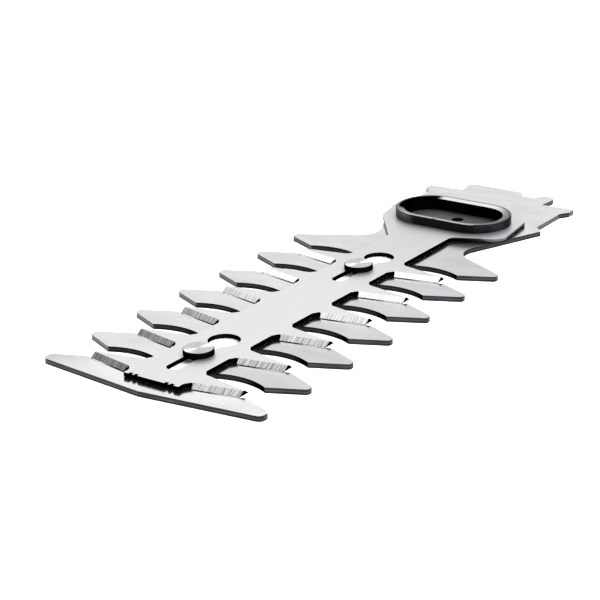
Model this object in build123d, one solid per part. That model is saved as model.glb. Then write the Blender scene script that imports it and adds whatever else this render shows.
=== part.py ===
from build123d import *
import os
from math import sqrt

# Shrub shear blade: a toothed blade that slides to and fro on a fixed comb.
# Lengths are in millimetres. The origin is on the drive axis, at the underside of the lower blade.
# +X points to the tip of the blade and +Z points up, so the two combs reach out along Y.

# Sheet and running fits
lower_thickness = 1.5
upper_thickness = 1.2
blade_gap = 0.05
head_gap = 0.05

# Comb of the lower blade
tooth_pitch = 18.0
teeth_per_side = 6
last_tooth_reach = 41.8
cutting_half = 34.1
kink_half = 24.55
lower_root_half = 8.0
tooth_width = 10.6
tooth_end_width = 2.0
tooth_end_round = 1.1
front_hollow = 2.05
back_hollow = 1.8
gap_corner_round = 1.0

# Nose of the lower blade
nose_length = 17.75
nose_rake = 3.6
nose_half = 33.8
nose_end_width = 3.2
nose_end_round = 1.5

# Neck and tail of the lower blade: the tail stands a little to the +Y side of the comb,
# with its ears and tab less so, and the corners of its neck and of the tab's foot lie further forward on that side
tail_offset = 0.8
tail_end_offset = 0.25
neck_half = 13.55
neck_reach = 24.9
neck_skew = 0.7
neck_round = 6.5
shoulder_half = 25.65
shoulder_back = 3.0
shoulder_slant = 2.7
waist_half = 22.9
waist_length = 14.5
ear_half = 25.25
ear_slant = 2.6
ear_length = 3.05
ear_inner_half = 20.3
tab_half = 15.45
tab_foot_half = 14.2
tab_foot_skew = 0.65
tab_length = 7.55
tab_round = 2.0
key_notch_middle = 7.45
key_notch_width = 7.3
key_notch_floor = 4.3
key_notch_depth = 3.2
pilot_hole_diameter = 3.6

# Stroke of the upper blade, and how far ahead of mid-stroke it stands
stroke_half = 7.0
rest_ahead = 2.65

# Comb of the upper blade, measured from the middle of the drive ring
upper_last_tooth_reach = 45.5
upper_spine_half = 8.45
upper_tip_half = 23.15
upper_root_width = 9.0
upper_end_width = 3.5
bevel_run = 1.55
edge_land = 0.15
relief_depth = 2.1
relief_rise = 1.45
relief_width = 2.3
relief_round = 0.4
upper_front_overhang = 6.5
front_notch_width = 1.1
front_notch_depth = 0.8
front_notch_inner = 4.7
front_notch_outer = 6.4

# Lobe of the upper blade round the drive ring, flared further forward on the -Y side
lobe_front_reach = 9.6
lobe_front_half = 22.3
lobe_side_back = 7.35
lobe_side_half = 20.2
right_neck_reach = 15.6
right_neck_round = 2.2
left_neck_reach = 22.65
left_flare_reach = 7.1
left_flare_half = 20.45
left_side_back = 4.85
left_side_half = 22.3
lobe_back = 16.0
lobe_back_half = 13.0
lobe_round = 3.5

# Guide studs
rear_stud_reach = 53.85
stud_spacing_teeth = 4
stud_head_diameter = 8.0
stud_head_height = 1.55
stud_head_chamfer = 0.15
stud_neck_diameter = 3.8
stud_shank_diameter = 3.0
stud_tail_diameter = 4.2
stud_tail_height = 0.6
slot_clearance = 0.08
slot_end_clearance = 0.05
keyhole_clearance = 0.25
keyhole_land = 0.4
rivet_clearance = 0.02

# Drive ring, an oval that lies across the blade
ring_inner_length = 31.5
ring_inner_width = 16.3
ring_wall = 2.5
ring_height = 2.65
ring_spigot_wall = 1.3
ring_floor_gap = 0.1
ring_fit = 0.02
ring_lead_in_width = 1.5
ring_lead_in_depth = 0.4
ring_rim_round = 0.35

# Values worked out from the sizes above
upper_bottom = lower_thickness + blade_gap
upper_top = upper_bottom + upper_thickness
head_bottom = upper_top + head_gap
tooth_gap = tooth_pitch - tooth_width
upper_front_reach = upper_last_tooth_reach + tooth_pitch * (teeth_per_side - 1) + upper_front_overhang
waist_start = shoulder_back + shoulder_slant
waist_end = waist_start + waist_length
ear_front = waist_end + ear_slant
ear_back = ear_front + ear_length
tab_back = ear_back + tab_length
stud_places = {
    "front_guide_stud": rear_stud_reach + stud_spacing_teeth * tooth_pitch,
    "rear_guide_stud": rear_stud_reach,
}
overcut = 1.0


def corners_at(outline, points):
    """Picks the corners of a flat outline that lie at the given points."""
    return [
        min(outline.vertices(), key=lambda corner: (Vector(corner) - Vector(*point)).length)
        for point in points
    ]


def mirrored(points):
    """The same outline on the other side of the blade, still counterclockwise."""
    return [(x, -y) for x, y in reversed(points)]


def oval(length, width):
    """An oval with round ends, long across the blade."""
    return Rot(Z=90) * SlotOverall(length, width)


def lower_tooth_lines(kink_x):
    """Lines of one lower tooth on the +Y side, from its front root round its end to its back kink."""
    middle_half = (lower_root_half + kink_half) / 2
    front_root = (kink_x, lower_root_half)
    front_middle = (kink_x - front_hollow, middle_half)
    front_kink = (kink_x, kink_half)
    end_middle = kink_x - tooth_width / 2
    front_end = (end_middle + tooth_end_width / 2, cutting_half)
    back_end = (end_middle - tooth_end_width / 2, cutting_half)
    lines = [
        ThreePointArc(front_root, front_middle, front_kink),
        Line(front_kink, front_end),
        Line(front_end, back_end),
    ]
    return lines, front_root, front_end, back_end


def back_flank_lines(back_end, back_kink_x):
    """Lines of a tooth's back flank, from its end over its kink to the root of the gap behind it."""
    middle_half = (lower_root_half + kink_half) / 2
    back_kink = (back_kink_x, kink_half)
    back_middle = (back_kink_x + back_hollow, middle_half)
    back_root = (back_kink_x, lower_root_half)
    return [Line(back_end, back_kink), ThreePointArc(back_kink, back_middle, back_root)], back_root


def lower_half_face(side):
    """One half of the lower blade's outline, drawn on the +Y side with the tail and neck of the asked side."""
    tail_shift = tail_offset * side
    end_shift = tail_end_offset * side
    first_kink = last_tooth_reach + tooth_pitch * (teeth_per_side - 1)
    nose_tip = (first_kink + nose_length, 0)
    nose_front = (nose_tip[0] - nose_rake, nose_half)
    nose_back = (nose_front[0] - nose_end_width, nose_half)
    tooth_ends = []
    gap_roots = []
    lines = [Line(nose_tip, nose_front), Line(nose_front, nose_back)]
    previous_end = nose_back
    for tooth in range(teeth_per_side):
        kink_x = first_kink - tooth * tooth_pitch
        back_lines, back_root = back_flank_lines(previous_end, kink_x + tooth_gap)
        tooth_lines, front_root, front_end, previous_end = lower_tooth_lines(kink_x)
        lines += back_lines + [Line(back_root, front_root)] + tooth_lines
        gap_roots += [back_root, front_root]
        tooth_ends += [front_end, previous_end]
    neck = (neck_reach + neck_skew * side, neck_half + tail_shift)
    tab_corner = (-tab_back, tab_half + end_shift)
    tail = [
        previous_end,
        neck,
        (-shoulder_back, shoulder_half + tail_shift),
        (-waist_start, waist_half + tail_shift),
        (-waist_end, waist_half + tail_shift),
        (-ear_front, ear_half + end_shift),
        (-ear_back, ear_half + end_shift),
        (-ear_back, ear_inner_half + end_shift),
        (-ear_back + tab_foot_skew * side, tab_foot_half + tail_shift),
        tab_corner,
        (-tab_back, 0),
        nose_tip,
    ]
    lines += [Line(start, end) for start, end in zip(tail, tail[1:])]
    face = make_face(lines)
    face = fillet(corners_at(face, tooth_ends), tooth_end_round)
    face = fillet(corners_at(face, [nose_front, nose_back]), nose_end_round)
    face = fillet(corners_at(face, gap_roots), gap_corner_round)
    face = fillet(corners_at(face, [neck]), neck_round)
    return fillet(corners_at(face, [tab_corner]), tab_round)


def key_notch():
    """The notch in the tail's rear edge that keys the blade to one side."""
    mouth = key_notch_width / 2
    floor = key_notch_floor / 2
    back = -tab_back
    front = back + key_notch_depth
    points = [
        (back - overcut, key_notch_middle - mouth),
        (back, key_notch_middle - mouth),
        (front, key_notch_middle - floor),
        (front, key_notch_middle + floor),
        (back, key_notch_middle + mouth),
        (back - overcut, key_notch_middle + mouth),
    ]
    return Polygon(*points, align=None)


def stud_tail(clearance):
    """The riveted end of a guide stud, or the hole for it, as a countersunk shank."""
    shank = stud_shank_diameter / 2 + clearance
    tail = stud_tail_diameter / 2 + clearance
    profile = Polyline(
        (0, 0), (tail, 0), (shank, stud_tail_height), (shank, lower_thickness), (0, lower_thickness), close=True
    )
    return revolve(Plane.XZ * make_face(profile), Axis.Z)


def lower_blade():
    """The fixed comb, pressed from one sheet."""
    right_half = extrude(lower_half_face(1), lower_thickness)
    left_half = mirror(extrude(lower_half_face(-1), lower_thickness), Plane.XZ)
    blade = right_half + left_half
    blade -= extrude(key_notch(), lower_thickness)
    blade -= extrude(Circle(pilot_hole_diameter / 2), lower_thickness)
    for place in stud_places.values():
        blade -= Pos(X=place) * stud_tail(rivet_clearance)
    return blade


def upper_tooth_places():
    """Middles of the upper teeth, measured from the middle of the drive ring."""
    return [upper_last_tooth_reach + tooth_pitch * tooth for tooth in range(teeth_per_side)]


def upper_flat():
    """Flat outline of the upper blade before its teeth are ground, with the lobe for the drive ring."""
    right_neck = (right_neck_reach, upper_spine_half)
    right_front = (lobe_front_reach, lobe_front_half)
    left_flare = (left_flare_reach, -left_flare_half)
    outline = [
        (upper_front_reach, upper_spine_half),
        right_neck,
        right_front,
        (-lobe_side_back, lobe_side_half),
        (-lobe_back, lobe_back_half),
        (-lobe_back, -lobe_back_half),
        (-left_side_back, -left_side_half),
        left_flare,
        (left_neck_reach, -upper_spine_half),
        (upper_front_reach, -upper_spine_half),
    ]
    flat = Polygon(*outline, align=None)
    flat = fillet(corners_at(flat, [right_neck]), right_neck_round)
    flat = fillet(corners_at(flat, [right_front, left_flare]), lobe_round)
    for place in upper_tooth_places():
        root = upper_root_width / 2
        end = upper_end_width / 2
        right = [
            (place + root, upper_spine_half),
            (place + end, upper_tip_half),
            (place - end, upper_tip_half),
            (place - root, upper_spine_half),
        ]
        flat += Polygon(*right, align=None)
        flat += Polygon(*mirrored(right), align=None)
    for place in upper_tooth_places():
        for side in (1, -1):
            for facing in (1, -1):
                flat -= root_relief(place, side, facing)
    return flat


def root_relief(place, side, facing):
    """The pointed notch at the root of one flank of an upper tooth, which lets the grinding wheel run out."""
    root = place + upper_root_width / 2 * facing
    deepest = (root - relief_depth * facing, (upper_spine_half + relief_rise) * side)
    corners = [
        (root, upper_spine_half * side),
        deepest,
        (root, (upper_spine_half + relief_width) * side),
    ]
    notch = make_face(Polyline(*corners, close=True))
    return fillet(corners_at(notch, [deepest]), relief_round)


def bevel_cutter(place, side, facing):
    """The wedge that is ground off one flank of an upper tooth, from its root relief to its end."""
    root = upper_root_width / 2
    end = upper_end_width / 2
    flank_root = Vector(place + root * facing, upper_spine_half * side, upper_bottom + edge_land)
    flank_end = Vector(place + end * facing, upper_tip_half * side, upper_bottom + edge_land)
    flank = flank_end - flank_root
    flank_start = flank_root + flank * (relief_rise / abs(flank.Y))
    slope = Vector(bevel_run * facing, 0, edge_land - upper_thickness)
    low = flank_start + slope
    high = flank_start - slope * 2
    corner = Vector(low.X, low.Y, high.Z)
    wedge = make_face(Polyline(low, high, corner, close=True))
    return extrude(wedge, amount=flank.length + overcut, dir=flank)


def keyhole(stud_place):
    """A round hole that lets a stud's head through, with a slot ahead of it for the stud's neck."""
    slot_half = stud_neck_diameter / 2 + slot_clearance
    hole_radius = stud_head_diameter / 2 + keyhole_clearance
    slot_front = stud_place + stroke_half + slot_end_clearance
    neck_back = stud_place - stroke_half - stud_neck_diameter / 2
    hole_middle = neck_back - keyhole_land - sqrt(hole_radius**2 - slot_half**2)
    run = slot_front - hole_middle
    slot = Pos(X=hole_middle + run / 2) * Rectangle(run, slot_half * 2)
    return Pos(X=hole_middle) * Circle(hole_radius) + slot + Pos(X=slot_front) * Circle(slot_half)


def ring_window():
    """The oval opening in the upper blade that the drive ring is pressed into."""
    length = ring_inner_length + 2 * ring_spigot_wall + 2 * ring_fit
    width = ring_inner_width + 2 * ring_spigot_wall + 2 * ring_fit
    return oval(length, width)


def upper_blade():
    """The moving comb, with both flanks of every tooth ground to a cutting edge."""
    flat = upper_flat() - ring_window()
    for place in stud_places.values():
        flat -= keyhole(place)
    for side in (1, -1):
        for notch in (front_notch_inner, front_notch_outer):
            flat -= Pos(upper_front_reach, notch * side) * Rectangle(2 * front_notch_depth, front_notch_width)
    blade = Pos(Z=upper_bottom) * extrude(flat, upper_thickness)
    for place in upper_tooth_places():
        for side in (1, -1):
            for facing in (1, -1):
                blade -= bevel_cutter(place, side, facing)
    return Pos(X=rest_ahead) * blade


def drive_ring():
    """The sintered oval ring that the drive's eccentric runs in, with a rim that slopes down to its inside."""
    rim = extrude(oval(ring_inner_length + 2 * ring_wall, ring_inner_width + 2 * ring_wall), ring_height)
    rim = fillet(rim.edges().group_by(Axis.Z)[-1], ring_rim_round)
    spigot_height = upper_thickness + blade_gap - ring_floor_gap
    spigot_length = ring_inner_length + 2 * ring_spigot_wall
    spigot_width = ring_inner_width + 2 * ring_spigot_wall
    spigot = Pos(Z=-spigot_height) * extrude(oval(spigot_length, spigot_width), spigot_height)
    inside = Pos(Z=-spigot_height) * extrude(oval(ring_inner_length, ring_inner_width), spigot_height + ring_height)
    mouth_length = ring_inner_length + 2 * ring_lead_in_width
    mouth_width = ring_inner_width + 2 * ring_lead_in_width
    lead_in = loft(
        [
            Pos(Z=ring_height - ring_lead_in_depth) * oval(ring_inner_length, ring_inner_width),
            Pos(Z=ring_height) * oval(mouth_length, mouth_width),
        ],
        ruled=True,
    )
    ring = rim + spigot - inside - lead_in
    return Pos(rest_ahead, 0, upper_top) * ring


def guide_stud(place):
    """A turned stud: a flat head, a neck that runs in the keyhole slot and a riveted shank."""
    neck = Pos(Z=lower_thickness) * extrude(Circle(stud_neck_diameter / 2), head_bottom - lower_thickness)
    head = Pos(Z=head_bottom) * extrude(Circle(stud_head_diameter / 2), stud_head_height)
    head = chamfer(head.edges().group_by(Axis.Z)[-1], stud_head_chamfer)
    return Pos(X=place) * (stud_tail(0) + neck + head)


pieces = {
    "lower_blade": lower_blade(),
    "upper_blade": upper_blade(),
    "drive_ring": drive_ring(),
}
for name, place in stud_places.items():
    pieces[name] = guide_stud(place)

os.makedirs("parts", exist_ok=True)
for name, piece in pieces.items():
    export_step(piece, f"parts/{name}.step")
    print(name, "volume", round(piece.volume, 2), "solids", len(piece.solids()))
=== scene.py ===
import math

import bpy
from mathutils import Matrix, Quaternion, Vector


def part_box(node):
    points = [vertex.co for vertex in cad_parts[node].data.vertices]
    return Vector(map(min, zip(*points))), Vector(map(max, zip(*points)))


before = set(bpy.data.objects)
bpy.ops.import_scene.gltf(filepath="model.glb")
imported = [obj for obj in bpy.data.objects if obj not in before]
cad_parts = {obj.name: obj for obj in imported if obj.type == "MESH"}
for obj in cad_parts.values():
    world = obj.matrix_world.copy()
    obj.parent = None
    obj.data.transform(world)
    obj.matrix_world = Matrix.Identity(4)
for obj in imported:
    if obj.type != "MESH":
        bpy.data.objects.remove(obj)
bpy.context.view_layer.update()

bl_info = {
    "name": "Shrub Shear Blade",
    "version": (1, 0, 0),
    "blender": (4, 5, 0),
    "location": "View3D > Sidebar > Shear Blade",
    "description": "Finishes the steel combs, the drive ring and the guide studs of a shrub shear blade",
    "category": "Object",
}

MILLIMETRE = 0.001


def millimetres(*lengths):
    """Lengths given in millimetres, in metres."""
    return tuple(length * MILLIMETRE for length in lengths)


# Shares of a surface's true normal that point up or down, where bevels, faces and the ring's rim begin
BEVEL_LIMITS = (0.35, 0.45)
FACE_LIMITS = (0.93, 0.96)
RIM_LIMITS = (0.945, 0.955)
FLAT_RIM_LIMITS = (0.98, 0.99)

# Stretches along the blade, each from where a change starts to where it is complete
TAIL_TO_TEETH = millimetres(5, 30)
LOBE_TO_TEETH = millimetres(16, 30)
NOSE_TO_TEETH = millimetres(138, 131)
FRONT_TO_GULLETS = millimetres(144, 142)
NECK_TO_TRACK = millimetres(30, 32)
NOSE_TO_TRACK = millimetres(137, 136)
NECK_TO_SPINE = millimetres(25, 80)
NECK_TO_LOBE = millimetres(19, 13)
SMOOTH_TO_COARSE_BEVELS = millimetres(60, 105)

# Stretches across the blade, from -Y to +Y or from both sides inwards
LEFT_TO_RIGHT_TEETH = millimetres(-20, 20)
NOSE_TO_LEFT_TIP = millimetres(-22, -32)
LOBE_TO_RIGHT_END = millimetres(12, 18)
TIPS_TO_GULLETS = millimetres(24.6, 24.2)
TEETH_TO_SPINE = millimetres(13, 11)
SIDES_TO_TRACK = millimetres(6.5, 6)
SIDES_TO_PILOT = millimetres(4, 3)

# Heights above the bottom of the upper sheet, between which the painted highlight on its lobe's edge fades in
LOBE_HIGHLIGHT_HEIGHTS = millimetres(0.3, 0.8)

# Places on the drive ring, of which the front of the lead-in's painted dark reflection is measured from the
# ring's middle
SIDES_TO_PALE_END = millimetres(-7, -9)
SIDES_TO_LEAD_IN_SHADE = millimetres(-8, -10.5)
LEAD_IN_SHADE_FRONT = millimetres(6.5, 4)
SIDES_TO_ENDS = millimetres(9, 16)
RIM_DENTS = (millimetres(13, -0.6, 5.2), millimetres(9.5, 13.85, 5.2))
DENT_RADII = millimetres(0.4, 0.8)

# Tones, as shares of a colour at the two ends of a change or of a pattern
LAPPED_STREAK_TONES = (0.96, 1.03)
BRUSHED_STREAK_TONES = (0.965, 1.02)
SMUDGE_TONES = (0.9, 1.04)
TEETH_TONES = (1.02, 0.85)
TAIL_AND_NOSE_TONE = 1.08
NOSE_TIP_SHADE_TONES = (1.0, 0.8)
NECK_TONES = (0.88, 1.0)
RING_FLOOR_SHADE_TONE = 0.15
DRAG_TONES = (0.6, 1.4)
LOWER_LINE_TONES = (1.5, 0.7)
UPPER_LINE_TONES = (0.7, 0.7)
SINTERED_TONES = (0.75, 1.25)
PALE_END_TONES = (1.1, 5.4)
RIM_END_TONES = (1.0, 0.4)
FLAT_RIM_TONES = (0.25, 0.9)
DENT_TONES = (0.3, 1.0)
TURNING_TONES = (0.8, 1.0)

# Patterns: how long their patches are along X, Y and Z
SMUDGE_LENGTHS = millimetres(7, 16, 1000)
DRAG_LENGTHS = millimetres(6, 6, 0.3)
SINTERED_LENGTHS = millimetres(0.8, 0.8, 0.8)
GRINDING_LENGTH = 9 * MILLIMETRE

# Blender's noise crowds round its middle, so this part of its range is spread over the whole
NOISE_RANGE = (0.32, 0.68)

# The light tent: directions from the blade, and the angles from them, in degrees, where a patch fades in
SOFTBOX_DIRECTION = (-0.25, 0.55, 0.8)
SOFTBOX_ANGLES = (20, 14)
PANEL_DIRECTION = (-0.346, -0.396, 0.851)
PANEL_ANGLES = (32.4, 25.7)
PANEL_FADE = 3.0
KICKER_DIRECTION = (0.23, -0.46, 0.858)
KICKER_ANGLES = (7, 5)
FLAG_DIRECTION = (1.0, -0.53, 0.0)
FLAG_REACH = (0.13, 0.23)

# Heights in the tent, as sines of the angle above the floor
FLAG_HEIGHTS = (0.45, 0.6)
ROOF_HEIGHT = 0.55
TOP_HEIGHTS = (0.97, 0.99)

# The floor lies this far under the blade, so that the two surfaces don't meet
FLOOR_DROP = 0.05 * MILLIMETRE

# Sockets of a colour Mix node, which share their names with its other sockets
MIX_FACTOR = 0
MIX_FIRST = 6
MIX_SECOND = 7
MIX_RESULT = 2


def linear(hex_colour):
    """The linear colour of an sRGB hex value, with full alpha."""
    parts = [int(hex_colour[start:start + 2], 16) / 255 for start in (1, 3, 5)]
    light = [part / 12.92 if part <= 0.04045 else ((part + 0.055) / 1.055) ** 2.4 for part in parts]
    return (*light, 1.0)


def add_node(tree, kind, inputs=None, **settings):
    """Adds one node: settings are its own properties, inputs are socket values or sockets to link from."""
    made = tree.nodes.new(kind)
    for name, value in settings.items():
        setattr(made, name, value)
    for name, value in (inputs or {}).items():
        if isinstance(value, bpy.types.NodeSocket):
            tree.links.new(value, made.inputs[name])
        else:
            made.inputs[name].default_value = value
    return made


def new_material(name):
    """An empty material and its node tree."""
    material = bpy.data.materials.new(name)
    material.use_nodes = True
    material.node_tree.nodes.clear()
    return material, material.node_tree


def dress(node_name, material):
    """Gives a CAD node one finish, in its own material slot."""
    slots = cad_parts[node_name].data.materials
    slots.clear()
    slots.append(material)


class ShearSteelSettings(bpy.types.PropertyGroup):
    """Finish of the two steel combs."""

    lower_face: bpy.props.FloatVectorProperty(
        name="Lower Face", description="Lapped face of the lower comb",
        subtype="COLOR", size=4, min=0, max=1, default=linear("#EDEDEF"))
    upper_face: bpy.props.FloatVectorProperty(
        name="Upper Face", description="Brushed face of the upper comb",
        subtype="COLOR", size=4, min=0, max=1, default=linear("#E2E2E4"))
    # Painted highlight: the track is painted near white, brighter than the lapped face around it
    track: bpy.props.FloatVectorProperty(
        name="Track", description="Worn bright track of the lower comb under the upper one",
        subtype="COLOR", size=4, min=0, max=1, default=linear("#FCFCFC"))
    # Painted shade: the edge colours are dark in place of the dark surroundings that the sheared walls
    # mirror; the gullet edge is darker still, as shade between the teeth
    lower_edge: bpy.props.FloatVectorProperty(
        name="Lower Edge", description="Darkened sheared edge of the lower comb",
        subtype="COLOR", size=4, min=0, max=1, default=linear("#2C2D2F"))
    gullet_edge: bpy.props.FloatVectorProperty(
        name="Gullet Edge", description="Blackened edge between the teeth of the lower comb",
        subtype="COLOR", size=4, min=0, max=1, default=linear("#1A1A1B"))
    # Painted shade: the upper comb's sheared walls and the pilot hole's wall are near black in place of the
    # dark surroundings they mirror and the shade inside the hole
    upper_edge: bpy.props.FloatVectorProperty(
        name="Upper Edge", description="Blackened sheared edge of the upper comb and of the pilot hole",
        subtype="COLOR", size=4, min=0, max=1, default=linear("#0B0B0C"))
    # Painted highlight: the lobe's edge is a lighter grey where it catches the light
    lobe_edge: bpy.props.FloatVectorProperty(
        name="Lobe Edge", description="Rubbed edge at the end of the upper comb's lobe",
        subtype="COLOR", size=4, min=0, max=1, default=linear("#626365"))
    bevel: bpy.props.FloatVectorProperty(
        name="Bevel", description="Freshly ground cutting bevel",
        subtype="COLOR", size=4, min=0, max=1, default=linear("#FAFAFA"))
    bevel_mark: bpy.props.FloatVectorProperty(
        name="Grinding Mark", description="Deep grinding marks across the bevels",
        subtype="COLOR", size=4, min=0, max=1, default=linear("#B4B4B6"))
    lower_roughness: bpy.props.FloatProperty(
        name="Lower Roughness", description="Roughness of the lapped lower face",
        subtype="FACTOR", min=0, max=1, default=0.2)
    upper_roughness: bpy.props.FloatProperty(
        name="Upper Roughness", description="Roughness of the brushed upper face",
        subtype="FACTOR", min=0, max=1, default=0.44)
    burnished_roughness: bpy.props.FloatProperty(
        name="Burnished Roughness", description="Roughness of the lower face beside the spine",
        subtype="FACTOR", min=0, max=1, default=0.15)
    ring_floor_roughness: bpy.props.FloatProperty(
        name="Greased Roughness", description="Roughness of the lower face inside the ring",
        subtype="FACTOR", min=0, max=1, default=0.55)
    # Roughness of the track, whose near white colour is a painted highlight
    track_roughness: bpy.props.FloatProperty(
        name="Track Roughness", description="Roughness of the worn track",
        subtype="FACTOR", min=0, max=1, default=0.8)
    bevel_roughness: bpy.props.FloatProperty(
        name="Bevel Roughness", description="Roughness of the ground bevels",
        subtype="FACTOR", min=0, max=1, default=0.14)
    streak_length: bpy.props.FloatProperty(
        name="Streak Length", description="Length of one brushed streak",
        unit="LENGTH", min=0.0001, default=14 * MILLIMETRE)
    streak_width: bpy.props.FloatProperty(
        name="Streak Width",
        description="Width of one brushed streak, drawn coarser than the real grit so that it shows",
        unit="LENGTH", min=0.00001, default=0.5 * MILLIMETRE)
    mark_width: bpy.props.FloatProperty(
        name="Mark Width", description="Width of one grinding mark on a bevel",
        unit="LENGTH", min=0.00001, default=0.45 * MILLIMETRE)
    mark_height: bpy.props.FloatProperty(
        name="Mark Height", description="Height of the marks on edges and bevels",
        unit="LENGTH", min=0, default=0.012 * MILLIMETRE)
    rear_mark_depth: bpy.props.FloatProperty(
        name="Worn Mark Depth",
        description="Share of their strength that the grinding marks have on the rear teeth",
        subtype="FACTOR", min=0, max=1, default=0.25)
    # Share of the lobe edge's painted highlight that reaches its lower half
    lobe_highlight_below: bpy.props.FloatProperty(
        name="Rub Below", description="Share of the rubbing that reaches the lower half of the lobe's edge",
        subtype="FACTOR", min=0, max=1, default=0.15)


class ShearRingSettings(bpy.types.PropertyGroup):
    """Finish of the drive ring."""

    body: bpy.props.FloatVectorProperty(
        name="Body", description="Black oxide on the sides of the ring",
        subtype="COLOR", size=4, min=0, max=1, default=linear("#1C1D1F"))
    # Painted shade: the inside is black oxide painted darker still, as shade inside the ring
    inside: bpy.props.FloatVectorProperty(
        name="Inside", description="Oiled black oxide on the inside of the ring",
        subtype="COLOR", size=4, min=0, max=1, default=linear("#0A0A0B"))
    rim: bpy.props.FloatVectorProperty(
        name="Rim", description="Ground lead-in and front of the rim",
        subtype="COLOR", size=4, min=0, max=1, default=linear("#DADADC"))
    roughness: bpy.props.FloatProperty(
        name="Roughness", description="Roughness of the whole ring",
        subtype="FACTOR", min=0, max=1, default=0.3)
    wall_shine: bpy.props.FloatProperty(
        name="Wall Shine", description="Share of glancing shine on the outer wall",
        subtype="FACTOR", min=0, max=1, default=0.5)


class ShearStudSettings(bpy.types.PropertyGroup):
    """Finish of the guide studs."""

    head: bpy.props.FloatVectorProperty(
        name="Head", description="Turned top of a stud's head",
        subtype="COLOR", size=4, min=0, max=1, default=linear("#E0E0E2"))
    # Painted shade: the side is near black in place of the dark surroundings it mirrors
    side: bpy.props.FloatVectorProperty(
        name="Side", description="Blackened side of a stud's head",
        subtype="COLOR", size=4, min=0, max=1, default=linear("#0C0C0D"))
    turning_pitch: bpy.props.FloatProperty(
        name="Turning Pitch",
        description="Spacing of the turning rings, drawn coarser than the real feed so that it shows",
        unit="LENGTH", min=0.00001, default=0.62 * MILLIMETRE)
    roughness: bpy.props.FloatProperty(
        name="Roughness", description="Roughness of the whole stud",
        subtype="FACTOR", min=0, max=1, default=0.42)
    turning_sheen: bpy.props.FloatProperty(
        name="Turning Sheen", description="How far the turning rings fan the light out",
        subtype="FACTOR", min=0, max=1, default=0.85)


class ShearStageSettings(bpy.types.PropertyGroup):
    """Floor, light and camera."""

    floor_colour: bpy.props.FloatVectorProperty(
        name="Floor", description="Pale studio floor",
        subtype="COLOR", size=4, min=0, max=1, default=linear("#FAFAFA"))
    floor_glow: bpy.props.FloatProperty(
        name="Floor Glow", description="Light that comes up through the floor",
        min=0, default=0.8)
    floor_size: bpy.props.FloatProperty(
        name="Floor Size", description="Side of the square floor",
        unit="LENGTH", min=0.5, default=4.0)
    horizon_light: bpy.props.FloatProperty(
        name="Horizon Light", description="Brightness of the light tent at floor level",
        min=0, default=0.29)
    roof_light: bpy.props.FloatProperty(
        name="Roof Light", description="Brightness of the light tent's roof",
        min=0, default=1.2)
    top_light: bpy.props.FloatProperty(
        name="Top Light", description="Share of the roof's light that is left at the very top of the tent",
        subtype="FACTOR", min=0, max=1, default=0.6)
    softbox_light: bpy.props.FloatProperty(
        name="Softbox Light", description="Extra brightness of the softbox above the right of the blade",
        min=0, default=13.0)
    panel_light: bpy.props.FloatProperty(
        name="Panel Light",
        description="Share of the tent's light that the round panel behind the blade passes",
        min=0, default=1.25)
    flag_light: bpy.props.FloatProperty(
        name="Flag Light", description="Share of the tent's light that the dark flag above the front passes",
        subtype="FACTOR", min=0, max=1, default=0.18)
    kicker_light: bpy.props.FloatProperty(
        name="Kicker Light", description="Brightness of the small lamp above the front of the blade",
        min=0, default=0.8)
    camera_place: bpy.props.FloatVectorProperty(
        name="Camera Place", description="Where the camera stands",
        subtype="TRANSLATION", size=3, default=(0.453219, 0.265856, 0.177294))
    camera_turn: bpy.props.FloatProperty(
        name="Camera Turn", description="Direction of the camera from the blade, turned from +X towards +Y",
        subtype="ANGLE", default=math.radians(35.623))
    camera_rise: bpy.props.FloatProperty(
        name="Camera Rise", description="Direction of the camera from the blade, above the floor",
        subtype="ANGLE", default=math.radians(20.939))
    camera_roll: bpy.props.FloatProperty(
        name="Camera Roll", description="How far the camera leans to its right",
        subtype="ANGLE", default=math.radians(1.570))
    camera_lens: bpy.props.FloatProperty(
        name="Lens", description="Focal length in millimetres on a 36 mm sensor",
        min=10, default=110.35)


def slope_masks(tree, *limits):
    """One mask for each pair of limits, from 0 where the surface is steeper to 1 where it is more level."""
    geometry = add_node(tree, "ShaderNodeNewGeometry")
    lean = add_node(tree, "ShaderNodeSeparateXYZ", {0: geometry.outputs["True Normal"]})
    level_share = add_node(tree, "ShaderNodeMath", {0: lean.outputs["Z"]}, operation="ABSOLUTE").outputs[0]
    return [
        add_node(
            tree, "ShaderNodeMapRange",
            {"Value": level_share, "From Min": steep, "From Max": level}).outputs[0]
        for steep, level in limits
    ]


def zone(tree, place, *stretches, tones=(0.0, 1.0), fade="LINEAR"):
    """Goes from one tone to the other where a place has passed every stretch along its axis or its sides."""
    spot = add_node(tree, "ShaderNodeSeparateXYZ", {0: place}).outputs
    sides = add_node(tree, "ShaderNodeMath", {0: spot["Y"]}, operation="ABSOLUTE").outputs[0]
    measures = {"X": spot["X"], "Y": spot["Y"], "Z": spot["Z"], "sides": sides}
    inside = 1.0
    for measure, (start, end) in stretches:
        passed = add_node(
            tree, "ShaderNodeMapRange", {"Value": measures[measure], "From Min": start, "From Max": end},
            interpolation_type=fade).outputs[0]
        inside = add_node(tree, "ShaderNodeMath", {0: passed, 1: inside}, operation="MULTIPLY").outputs[0]
    first, last = tones
    return add_node(tree, "ShaderNodeMapRange", {"Value": inside, "To Min": first, "To Max": last}).outputs[0]


def stretched_noise(tree, place, lengths, tones, detail=3.0):
    """Noise with patches of the given lengths along X, Y and Z, spread over a range of tones."""
    scales = [1 / length for length in lengths]
    scaled = add_node(tree, "ShaderNodeMapping", {"Vector": place, "Scale": scales}).outputs[0]
    noise = add_node(tree, "ShaderNodeTexNoise", {"Vector": scaled, "Scale": 1.0, "Detail": detail})
    lowest, highest = NOISE_RANGE
    dark, light = tones
    spread = add_node(
        tree, "ShaderNodeMapRange",
        {"Value": noise.outputs["Fac"], "From Min": lowest, "From Max": highest,
         "To Min": dark, "To Max": light})
    return spread.outputs[0]


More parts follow.
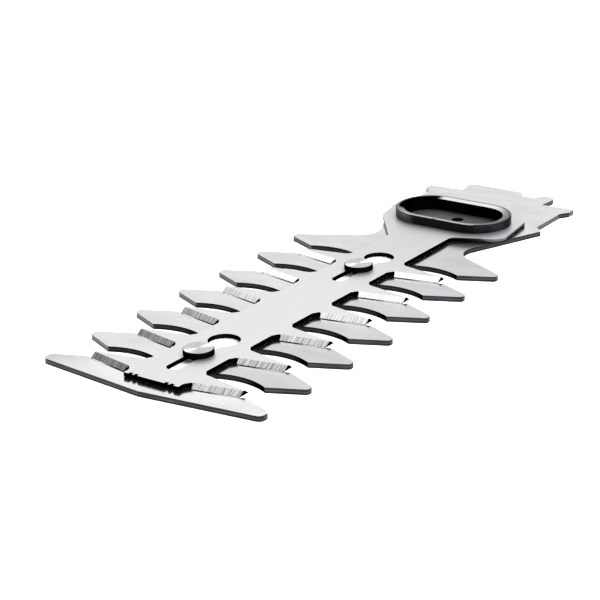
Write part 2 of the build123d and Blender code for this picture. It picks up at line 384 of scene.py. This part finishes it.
def sheared_edge(tree, place, colour, node_name, line_tones):
    """The edge a press leaves: drag lines along the sheet, and a line of its own tone half way up."""
    low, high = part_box(node_name)
    line_half_width = 0.35 * MILLIMETRE
    height = add_node(tree, "ShaderNodeSeparateXYZ", {0: place}).outputs["Z"]
    half_way = (low.z + high.z) / 2
    above = add_node(tree, "ShaderNodeMath", {0: height, 1: half_way}, operation="SUBTRACT").outputs[0]
    away = add_node(tree, "ShaderNodeMath", {0: above}, operation="ABSOLUTE").outputs[0]
    middle, rest = line_tones
    line = add_node(
        tree, "ShaderNodeMapRange",
        {"Value": away, "From Min": 0.0, "From Max": line_half_width, "To Min": middle, "To Max": rest},
        interpolation_type="SMOOTHSTEP").outputs[0]
    drag = stretched_noise(tree, place, DRAG_LENGTHS, DRAG_TONES)
    for tone in (line, drag):
        colour = add_node(
            tree, "ShaderNodeVectorMath", {0: colour, "Scale": tone}, operation="SCALE").outputs[0]
    return colour


def ground_bevel(tree, place, settings):
    """Bright bevels with the marks of a coarse wheel, which run across them and so change along Y."""
    lengths = (GRINDING_LENGTH, settings.mark_width, GRINDING_LENGTH)
    marks = stretched_noise(tree, place, lengths, (0.0, 1.0), detail=2.0)
    # The marks are fainter on the rear teeth
    depth = zone(tree, place, ("X", SMOOTH_TO_COARSE_BEVELS), tones=(settings.rear_mark_depth, 1.0))
    marks = add_node(tree, "ShaderNodeMath", {0: marks, 1: depth}, operation="MULTIPLY").outputs[0]
    bevel = add_node(
        tree, "ShaderNodeMix",
        {MIX_FACTOR: marks, MIX_FIRST: settings.bevel, MIX_SECOND: settings.bevel_mark}, data_type="RGBA")
    return bevel.outputs[MIX_RESULT], marks


def comb_shader(tree, colour, roughness, marks, level, glancing):
    """Bare steel, with its marks raised on edges and bevels only and its own share of glancing shine."""
    settings = bpy.context.scene.shear_steel
    depth = add_node(tree, "ShaderNodeMath", {0: 1.0, 1: level}, operation="SUBTRACT").outputs[0]
    bump = add_node(
        tree, "ShaderNodeBump", {"Height": marks, "Strength": depth, "Distance": settings.mark_height})
    return add_node(
        tree, "ShaderNodeBsdfPrincipled",
        {"Base Color": colour, "Metallic": 1.0, "Roughness": roughness, "Normal": bump.outputs[0],
         "Specular Tint": glancing})


def in_ring_mask(tree, place):
    """A mask that is 1 on the lower comb within the drive ring's length and width."""
    spot = add_node(tree, "ShaderNodeSeparateXYZ", {0: place}).outputs
    in_ring = 1.0
    ring_low, ring_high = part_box("drive_ring")
    for axis, start, end in (("X", ring_low.x, ring_high.x), ("Y", ring_low.y, ring_high.y)):
        between = add_node(
            tree, "ShaderNodeMath", {0: spot[axis], 1: (start + end) / 2, 2: (end - start) / 2},
            operation="COMPARE").outputs[0]
        in_ring = add_node(tree, "ShaderNodeMath", {0: between, 1: in_ring}, operation="MULTIPLY").outputs[0]
    return in_ring


def lower_face_colour(tree, place, in_ring, in_track):
    """The lapped face: streaks along the teeth, smudges across them, lighter and darker stretches, painted
    shade on the nose tip and inside the ring, and a painted highlight on the track.
    """
    settings = bpy.context.scene.shear_steel
    streak_lengths = (settings.streak_width, settings.streak_length, settings.streak_width)
    streaks = stretched_noise(tree, place, streak_lengths, LAPPED_STREAK_TONES)
    smudges = stretched_noise(tree, place, SMUDGE_LENGTHS, SMUDGE_TONES)
    # The teeth are a little darker towards the +Y side than the nose and the tail are
    across_teeth = zone(tree, place, ("Y", LEFT_TO_RIGHT_TEETH), tones=TEETH_TONES, fade="SMOOTHSTEP")
    along = zone(
        tree, place, ("X", TAIL_TO_TEETH), ("X", NOSE_TO_TEETH), tones=(TAIL_AND_NOSE_TONE, across_teeth))
    # Painted shade: the nose darkens towards its -Y tip
    nose_tip_shade = zone(tree, place, ("Y", NOSE_TO_LEFT_TIP), tones=NOSE_TIP_SHADE_TONES)
    dimmed = zone(tree, place, ("X", NOSE_TO_TEETH), tones=(nose_tip_shade, 1.0))
    # Painted shade: the floor of the ring is painted dark, as shade under the ring's black walls
    ring_floor_shade = add_node(
        tree, "ShaderNodeMapRange", {"Value": in_ring, "To Min": 1.0, "To Max": RING_FLOOR_SHADE_TONE}).outputs[0]
    face = settings.lower_face[:3]
    for tone in (streaks, smudges, along, dimmed, ring_floor_shade):
        face = add_node(tree, "ShaderNodeVectorMath", {0: face, "Scale": tone}, operation="SCALE").outputs[0]
    # Painted highlight: the track is mixed in near white
    face = add_node(
        tree, "ShaderNodeMix", {MIX_FACTOR: in_track, MIX_FIRST: face, MIX_SECOND: settings.track},
        data_type="RGBA").outputs[MIX_RESULT]
    return face, streaks


def lower_comb_steel():
    """Hardened tool steel: lapped faces that mirror softly, sheared edges painted dark as shade, and a track
    painted near white as a highlight.
    """
    settings = bpy.context.scene.shear_steel
    material, tree = new_material("lapped_tool_steel")
    place = add_node(tree, "ShaderNodeTexCoord").outputs["Object"]
    level, not_wall = slope_masks(tree, FACE_LIMITS, BEVEL_LIMITS)
    in_ring = in_ring_mask(tree, place)
    # The track lies under the upper comb's spine and shows only through its keyholes; its near white colour
    # is a painted highlight
    in_track = zone(tree, place, ("sides", SIDES_TO_TRACK), ("X", NECK_TO_TRACK), ("X", NOSE_TO_TRACK))
    face, streaks = lower_face_colour(tree, place, in_ring, in_track)
    # Painted shade: the edges are blacker between the teeth and in the pilot hole than on the tips, the nose
    # and the tail
    pilot = zone(tree, place, ("sides", SIDES_TO_PILOT))
    teeth = zone(tree, place, ("X", LOBE_TO_TEETH))
    pilot_or_teeth = add_node(tree, "ShaderNodeMath", {0: pilot, 1: teeth}, operation="MAXIMUM").outputs[0]
    behind_tips = zone(tree, place, ("sides", TIPS_TO_GULLETS), ("X", FRONT_TO_GULLETS))
    in_gullet = add_node(
        tree, "ShaderNodeMath", {0: behind_tips, 1: pilot_or_teeth}, operation="MULTIPLY").outputs[0]
    edge = settings.lower_edge
    for share, edge_shade in ((in_gullet, settings.gullet_edge), (in_ring, settings.upper_edge)):
        edge = add_node(
            tree, "ShaderNodeMix", {MIX_FACTOR: share, MIX_FIRST: edge, MIX_SECOND: edge_shade},
            data_type="RGBA").outputs[MIX_RESULT]
    edge = sheared_edge(tree, place, edge, "lower_blade", LOWER_LINE_TONES)
    colour = add_node(
        tree, "ShaderNodeMix", {MIX_FACTOR: level, MIX_FIRST: edge, MIX_SECOND: face},
        data_type="RGBA").outputs[MIX_RESULT]
    # Beside the spine the sliding comb has burnished the face, so it mirrors the spine's black edge
    beside_spine = zone(tree, place, ("sides", TEETH_TO_SPINE), ("X", LOBE_TO_TEETH))
    roughness = settings.lower_roughness
    for share, changed in (
            (beside_spine, settings.burnished_roughness), (in_ring, settings.ring_floor_roughness),
            (in_track, settings.track_roughness)):
        roughness = add_node(
            tree, "ShaderNodeMapRange", {"Value": share, "To Min": roughness, "To Max": changed}).outputs[0]
    # The edges painted black as shade between the teeth have no glancing shine
    glancing = add_node(
        tree, "ShaderNodeMapRange", {"Value": in_gullet, "To Min": 1.0, "To Max": not_wall}).outputs[0]
    shader = comb_shader(tree, colour, roughness, streaks, level, glancing)
    add_node(tree, "ShaderNodeOutputMaterial", {"Surface": shader.outputs[0]})
    return material


def upper_comb_steel():
    """Hardened tool steel: brushed faces, sheared edges painted black as shade, and bright ground bevels."""
    settings = bpy.context.scene.shear_steel
    material, tree = new_material("brushed_tool_steel")
    place = add_node(tree, "ShaderNodeTexCoord").outputs["Object"]
    level, not_wall = slope_masks(tree, FACE_LIMITS, BEVEL_LIMITS)
    streak_lengths = (settings.streak_length, settings.streak_width, settings.streak_width)
    streaks = stretched_noise(tree, place, streak_lengths, BRUSHED_STREAK_TONES)
    # The sheet is a little darker at its neck
    neck = zone(tree, place, ("X", NECK_TO_SPINE), tones=NECK_TONES, fade="SMOOTHSTEP")
    face = settings.upper_face[:3]
    for tone in (streaks, neck):
        face = add_node(tree, "ShaderNodeVectorMath", {0: face, "Scale": tone}, operation="SCALE").outputs[0]
    bevel, marks = ground_bevel(tree, place, settings)
    # Painted highlight: the edge is lighter at the lobe's +Y end, mostly on the upper half of the edge
    low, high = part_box("upper_blade")
    highlight_heights = [low.z + height for height in LOBE_HIGHLIGHT_HEIGHTS]
    upper_half = zone(tree, place, ("Z", highlight_heights), tones=(settings.lobe_highlight_below, 1.0))
    lobe_highlight = zone(tree, place, ("X", NECK_TO_LOBE), ("Y", LOBE_TO_RIGHT_END), tones=(0.0, upper_half))
    edge = add_node(
        tree, "ShaderNodeMix",
        {MIX_FACTOR: lobe_highlight, MIX_FIRST: settings.upper_edge, MIX_SECOND: settings.lobe_edge},
        data_type="RGBA").outputs[MIX_RESULT]
    colour = sheared_edge(tree, place, edge, "upper_blade", UPPER_LINE_TONES)
    for share, finish in ((not_wall, bevel), (level, face)):
        colour = add_node(
            tree, "ShaderNodeMix", {MIX_FACTOR: share, MIX_FIRST: colour, MIX_SECOND: finish},
            data_type="RGBA").outputs[MIX_RESULT]
    roughness = add_node(
        tree, "ShaderNodeMapRange",
        {"Value": level, "To Min": settings.bevel_roughness, "To Max": settings.upper_roughness}).outputs[0]
    # Only the edges with the painted highlight keep their glancing shine
    glancing = add_node(
        tree, "ShaderNodeMapRange", {"Value": lobe_highlight, "To Min": not_wall, "To Max": 1.0}).outputs[0]
    shader = comb_shader(tree, colour, roughness, marks, level, glancing)
    add_node(tree, "ShaderNodeOutputMaterial", {"Surface": shader.outputs[0]})
    return material


def ring_rim_colour(tree, place, flat, lead_in_shade):
    """The ground rim: a bright lead-in that is painted black at its -Y end as a dark reflection, and a flat
    that is painted lighter towards the front as a highlight.
    """
    settings = bpy.context.scene.shear_ring
    low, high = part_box("drive_ring")
    # The rim is darker at its two ends than along its long sides
    ground = zone(tree, place, ("sides", SIDES_TO_ENDS), tones=RIM_END_TONES, fade="SMOOTHSTEP")
    bare = add_node(
        tree, "ShaderNodeVectorMath", {0: settings.rim[:3], "Scale": ground}, operation="SCALE").outputs[0]
    # Painted reflection: the lead-in is black at the -Y end, where it stands in for a dark reflection
    lead_in = add_node(
        tree, "ShaderNodeMix", {MIX_FACTOR: lead_in_shade, MIX_FIRST: bare, MIX_SECOND: settings.inside},
        data_type="RGBA").outputs[MIX_RESULT]
    # Painted highlight: the flat is lighter towards the front and darker towards the rear
    worn = zone(tree, place, ("X", (low.x, high.x)), tones=FLAT_RIM_TONES)
    flat_rim = add_node(tree, "ShaderNodeVectorMath", {0: bare, "Scale": worn}, operation="SCALE").outputs[0]
    rim = add_node(
        tree, "ShaderNodeMix", {MIX_FACTOR: flat, MIX_FIRST: lead_in, MIX_SECOND: flat_rim},
        data_type="RGBA").outputs[MIX_RESULT]
    # Two small dents in the front of the rim have gone dark
    core, border = DENT_RADII
    dark, clean = DENT_TONES
    for dent in RIM_DENTS:
        away = add_node(
            tree, "ShaderNodeVectorMath", {0: place, 1: dent}, operation="DISTANCE").outputs["Value"]
        dimmed = add_node(
            tree, "ShaderNodeMapRange",
            {"Value": away, "From Min": core, "From Max": border, "To Min": dark, "To Max": clean}).outputs[0]
        rim = add_node(tree, "ShaderNodeVectorMath", {0: rim, "Scale": dimmed}, operation="SCALE").outputs[0]
    return rim


def blackened_ring_steel():
    """Sintered steel with a black oxide skin, ground bright on its rim; the lead-in at its -Y end is painted
    black as a dark reflection, and the inside is painted darker as shade.
    """
    settings = bpy.context.scene.shear_ring
    low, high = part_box("drive_ring")
    middle = (low + high) / 2
    material, tree = new_material("blackened_sintered_steel")
    level, flat = slope_masks(tree, RIM_LIMITS, FLAT_RIM_LIMITS)
    place = add_node(tree, "ShaderNodeTexCoord").outputs["Object"]
    grain = stretched_noise(tree, place, SINTERED_LENGTHS, SINTERED_TONES)
    # The round -Y end is lighter and greyer than the rest
    pale_end = zone(tree, place, ("Y", SIDES_TO_PALE_END), tones=PALE_END_TONES)
    body = settings.body[:3]
    for tone in (grain, pale_end):
        body = add_node(tree, "ShaderNodeVectorMath", {0: body, "Scale": tone}, operation="SCALE").outputs[0]
    # The inside, which faces the middle of the ring, is black oxide painted darker than the body, as shade
    outward = add_node(tree, "ShaderNodeVectorMath", {0: place, 1: middle}, operation="SUBTRACT").outputs[0]
    normal = add_node(tree, "ShaderNodeNewGeometry").outputs["True Normal"]
    facing_out = add_node(
        tree, "ShaderNodeVectorMath", {0: outward, 1: normal}, operation="DOT_PRODUCT").outputs["Value"]
    outside = add_node(tree, "ShaderNodeMath", {0: facing_out, 1: 0.0}, operation="GREATER_THAN").outputs[0]
    lead_in_shade_front = [middle.x + reach for reach in LEAD_IN_SHADE_FRONT]
    lead_in_shade = zone(tree, place, ("X", lead_in_shade_front), ("Y", SIDES_TO_LEAD_IN_SHADE), fade="SMOOTHSTEP")
    colour = settings.inside
    for share, finish in ((outside, body), (level, ring_rim_colour(tree, place, flat, lead_in_shade))):
        colour = add_node(
            tree, "ShaderNodeMix", {MIX_FACTOR: share, MIX_FIRST: colour, MIX_SECOND: finish},
            data_type="RGBA").outputs[MIX_RESULT]
    # The lead-in painted black as a dark reflection has no glancing shine, and the walls have half of it
    wall_glancing = add_node(
        tree, "ShaderNodeMath", {0: outside, 1: settings.wall_shine}, operation="MULTIPLY").outputs[0]
    rim_glancing = add_node(
        tree, "ShaderNodeMapRange", {"Value": lead_in_shade, "To Min": 1.0, "To Max": flat}).outputs[0]
    glancing = add_node(
        tree, "ShaderNodeMapRange",
        {"Value": level, "To Min": wall_glancing, "To Max": rim_glancing}).outputs[0]
    shader = add_node(
        tree, "ShaderNodeBsdfPrincipled",
        {"Base Color": colour, "Metallic": 1.0, "Roughness": settings.roughness, "Specular Tint": glancing})
    add_node(tree, "ShaderNodeOutputMaterial", {"Surface": shader.outputs[0]})
    return material


def turned_stud_steel(node_name):
    """Free-cutting steel turned on a lathe: rings on the head that fan the light out, and a side painted
    black as shade.
    """
    settings = bpy.context.scene.shear_studs
    low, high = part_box(node_name)
    middle = (low + high) / 2
    material, tree = new_material("turned_steel_" + node_name)
    level, = slope_masks(tree, FACE_LIMITS)
    place = add_node(tree, "ShaderNodeTexCoord").outputs["Object"]
    out = add_node(tree, "ShaderNodeVectorMath", {0: place, 1: middle}, operation="SUBTRACT").outputs[0]
    flat = add_node(tree, "ShaderNodeVectorMath", {0: out, 1: (1, 1, 0)}, operation="MULTIPLY").outputs[0]
    radius = add_node(tree, "ShaderNodeVectorMath", {0: flat}, operation="LENGTH").outputs["Value"]
    turns = 2 * math.pi / settings.turning_pitch
    turn = add_node(tree, "ShaderNodeMath", {0: radius, 1: turns}, operation="MULTIPLY").outputs[0]
    wave = add_node(tree, "ShaderNodeMath", {0: turn}, operation="SINE").outputs[0]
    valley, crest = TURNING_TONES
    ring_light = add_node(
        tree, "ShaderNodeMapRange",
        {"Value": wave, "From Min": -1.0, "From Max": 1.0, "To Min": valley, "To Max": crest}).outputs[0]
    head = add_node(
        tree, "ShaderNodeVectorMath", {0: settings.head[:3], "Scale": ring_light},
        operation="SCALE").outputs[0]
    # Painted shade: the side takes its near black colour
    colour = add_node(
        tree, "ShaderNodeMix", {MIX_FACTOR: level, MIX_FIRST: settings.side, MIX_SECOND: head},
        data_type="RGBA").outputs[MIX_RESULT]
    tangent = add_node(tree, "ShaderNodeTangent", direction_type="RADIAL", axis="Z")
    shader = add_node(
        tree, "ShaderNodeBsdfPrincipled",
        {"Base Color": colour, "Metallic": 1.0, "Roughness": settings.roughness,
         "Anisotropic": settings.turning_sheen, "Tangent": tangent.outputs[0], "Specular Tint": level})
    add_node(tree, "ShaderNodeOutputMaterial", {"Surface": shader.outputs[0]})
    return material


class ShearLowerBlade(bpy.types.Operator):
    """Finish the fixed comb"""

    bl_idname = "shear.lower_blade"
    bl_label = "Lower Blade"

    def execute(self, context):
        dress("lower_blade", lower_comb_steel())
        return {"FINISHED"}


class ShearUpperBlade(bpy.types.Operator):
    """Finish the sliding comb and its ground bevels"""

    bl_idname = "shear.upper_blade"
    bl_label = "Upper Blade"

    def execute(self, context):
        dress("upper_blade", upper_comb_steel())
        return {"FINISHED"}


class ShearDriveRing(bpy.types.Operator):
    """Finish the oval drive ring"""

    bl_idname = "shear.drive_ring"
    bl_label = "Drive Ring"

    def execute(self, context):
        dress("drive_ring", blackened_ring_steel())
        return {"FINISHED"}


class ShearGuideStuds(bpy.types.Operator):
    """Finish the two guide studs"""

    bl_idname = "shear.guide_studs"
    bl_label = "Guide Studs"

    def execute(self, context):
        for node_name in ("front_guide_stud", "rear_guide_stud"):
            dress(node_name, turned_stud_steel(node_name))
        return {"FINISHED"}


def round_patch(tree, direction, centre, angles, fade="SMOOTHSTEP"):
    """A round patch of the light tent, which fades in from its outer to its inner angle round its centre."""
    outer, inner = (math.cos(math.radians(angle)) for angle in angles)
    nearness = add_node(
        tree, "ShaderNodeVectorMath", {0: direction, 1: Vector(centre).normalized()},
        operation="DOT_PRODUCT").outputs["Value"]
    patch = add_node(
        tree, "ShaderNodeMapRange", {"Value": nearness, "From Min": outer, "From Max": inner},
        interpolation_type=fade)
    return patch.outputs[0]


class ShearStage(bpy.types.Operator):
    """Set up the pale floor, the soft light and the camera"""

    bl_idname = "shear.stage"
    bl_label = "Stage"

    def execute(self, context):
        settings = context.scene.shear_stage
        self.add_floor(context, settings)
        self.add_light_tent(context, settings)
        self.add_camera(context, settings)
        context.scene.view_settings.view_transform = "Standard"
        return {"FINISHED"}

    def add_floor(self, context, settings):
        """A lit table of white acrylic just under the blade, which leaves hardly any shadow."""
        half = settings.floor_size / 2
        outline = ((-half, -half), (half, -half), (half, half), (-half, half))
        corners = [(x, y, -FLOOR_DROP) for x, y in outline]
        mesh = bpy.data.meshes.new("studio_floor")
        mesh.from_pydata(corners, [], [(0, 1, 2, 3)])
        floor = bpy.data.objects.new("studio_floor", mesh)
        context.scene.collection.objects.link(floor)
        material, tree = new_material("lit_white_acrylic")
        shader = add_node(
            tree, "ShaderNodeBsdfPrincipled",
            {"Base Color": settings.floor_colour, "Roughness": 1.0, "Specular IOR Level": 0.0,
             "Emission Color": settings.floor_colour, "Emission Strength": settings.floor_glow})
        add_node(tree, "ShaderNodeOutputMaterial", {"Surface": shader.outputs[0]})
        mesh.materials.append(material)

    def add_light_tent(self, context, settings):
        """A white tent, brighter towards its roof, with a softbox, a panel, a dark flag and a small lamp."""
        world = bpy.data.worlds.new("light_tent")
        world.use_nodes = True
        tree = world.node_tree
        tree.nodes.clear()
        direction = add_node(tree, "ShaderNodeTexCoord").outputs["Generated"]
        height = add_node(tree, "ShaderNodeSeparateXYZ", {0: direction}).outputs["Z"]
        tent = add_node(
            tree, "ShaderNodeMapRange",
            {"Value": height, "From Max": ROOF_HEIGHT, "To Min": settings.horizon_light,
             "To Max": settings.roof_light}).outputs[0]
        # The top of the tent is shaded, so that the sheets don't glare from above
        top_start, top_end = TOP_HEIGHTS
        shade = add_node(
            tree, "ShaderNodeMapRange",
            {"Value": height, "From Min": top_start, "From Max": top_end, "To Min": 1.0,
             "To Max": settings.top_light}, interpolation_type="SMOOTHSTEP").outputs[0]
        tent = add_node(tree, "ShaderNodeMath", {0: tent, 1: shade}, operation="MULTIPLY").outputs[0]
        softbox = round_patch(tree, direction, SOFTBOX_DIRECTION, SOFTBOX_ANGLES)
        light = add_node(
            tree, "ShaderNodeMath", {0: softbox, 1: settings.softbox_light, 2: tent},
            operation="MULTIPLY_ADD").outputs[0]
        passed = self.panel_and_flag(tree, direction, height, settings)
        flagged = add_node(tree, "ShaderNodeMath", {0: light, 1: passed}, operation="MULTIPLY").outputs[0]
        # A small lamp that only the first bevel on the +Y side mirrors
        kicker = round_patch(tree, direction, KICKER_DIRECTION, KICKER_ANGLES)
        strength = add_node(
            tree, "ShaderNodeMath", {0: kicker, 1: settings.kicker_light, 2: flagged},
            operation="MULTIPLY_ADD").outputs[0]
        background = add_node(tree, "ShaderNodeBackground", {"Strength": strength, "Color": (1, 1, 1, 1)})
        add_node(tree, "ShaderNodeOutputWorld", {"Surface": background.outputs[0]})
        context.scene.world = world

    def panel_and_flag(self, tree, direction, height, settings):
        """The share of the tent's light that comes past a dark flag, which a round panel brightens again."""
        # The bevels mirror the panel's edge: the last ones lie inside it, and the flag greys the first ones
        panel = round_patch(tree, direction, PANEL_DIRECTION, PANEL_ANGLES, fade="LINEAR")
        panel_fade = add_node(tree, "ShaderNodeMath", {0: panel, 1: PANEL_FADE}, operation="POWER").outputs[0]
        panel_share = add_node(
            tree, "ShaderNodeMapRange",
            {"Value": panel_fade, "To Min": settings.flag_light, "To Max": settings.panel_light}).outputs[0]
        ahead = add_node(
            tree, "ShaderNodeVectorMath", {0: direction, 1: FLAG_DIRECTION},
            operation="DOT_PRODUCT").outputs["Value"]
        flag = 1.0
        for measure, (start, end) in ((ahead, FLAG_REACH), (height, FLAG_HEIGHTS)):
            edge = add_node(
                tree, "ShaderNodeMapRange", {"Value": measure, "From Min": start, "From Max": end},
                interpolation_type="SMOOTHSTEP").outputs[0]
            flag = add_node(tree, "ShaderNodeMath", {0: edge, 1: flag}, operation="MULTIPLY").outputs[0]
        return add_node(
            tree, "ShaderNodeMapRange", {"Value": flag, "To Min": 1.0, "To Max": panel_share}).outputs[0]

    def add_camera(self, context, settings):
        """The photograph's viewpoint."""
        turn, rise = settings.camera_turn, settings.camera_rise
        back = Vector((math.cos(turn) * math.cos(rise), math.sin(turn) * math.cos(rise), math.sin(rise)))
        camera = bpy.data.objects.new("camera", bpy.data.cameras.new("camera"))
        camera.data.lens = settings.camera_lens
        camera.location = settings.camera_place
        camera.rotation_mode = "QUATERNION"
        lean = Quaternion((0, 0, 1), -settings.camera_roll)
        camera.rotation_quaternion = back.to_track_quat("Z", "Y") @ lean
        context.scene.collection.objects.link(camera)
        context.scene.camera = camera


class ShearPanel(bpy.types.Panel):
    """Lists the steps that finish the blade"""

    bl_idname = "VIEW3D_PT_shear_blade"
    bl_label = "Shear Blade"
    bl_space_type = "VIEW_3D"
    bl_region_type = "UI"
    bl_category = "Shear Blade"

    def draw(self, context):
        for operator in OPERATORS:
            self.layout.operator(operator.bl_idname)


OPERATORS = (ShearLowerBlade, ShearUpperBlade, ShearDriveRing, ShearGuideStuds, ShearStage)
SETTINGS = {
    "shear_steel": ShearSteelSettings,
    "shear_ring": ShearRingSettings,
    "shear_studs": ShearStudSettings,
    "shear_stage": ShearStageSettings,
}


def register():
    for name, group in SETTINGS.items():
        bpy.utils.register_class(group)
        setattr(bpy.types.Scene, name, bpy.props.PointerProperty(type=group))
    for shown in (*OPERATORS, ShearPanel):
        bpy.utils.register_class(shown)


def unregister():
    for shown in (ShearPanel, *reversed(OPERATORS)):
        bpy.utils.unregister_class(shown)
    for name, group in reversed(SETTINGS.items()):
        delattr(bpy.types.Scene, name)
        bpy.utils.unregister_class(group)


def main():
    register()
    bpy.ops.shear.lower_blade()
    bpy.ops.shear.upper_blade()
    bpy.ops.shear.drive_ring()
    bpy.ops.shear.guide_studs()
    bpy.ops.shear.stage()


if __name__ == "__main__":
    main()
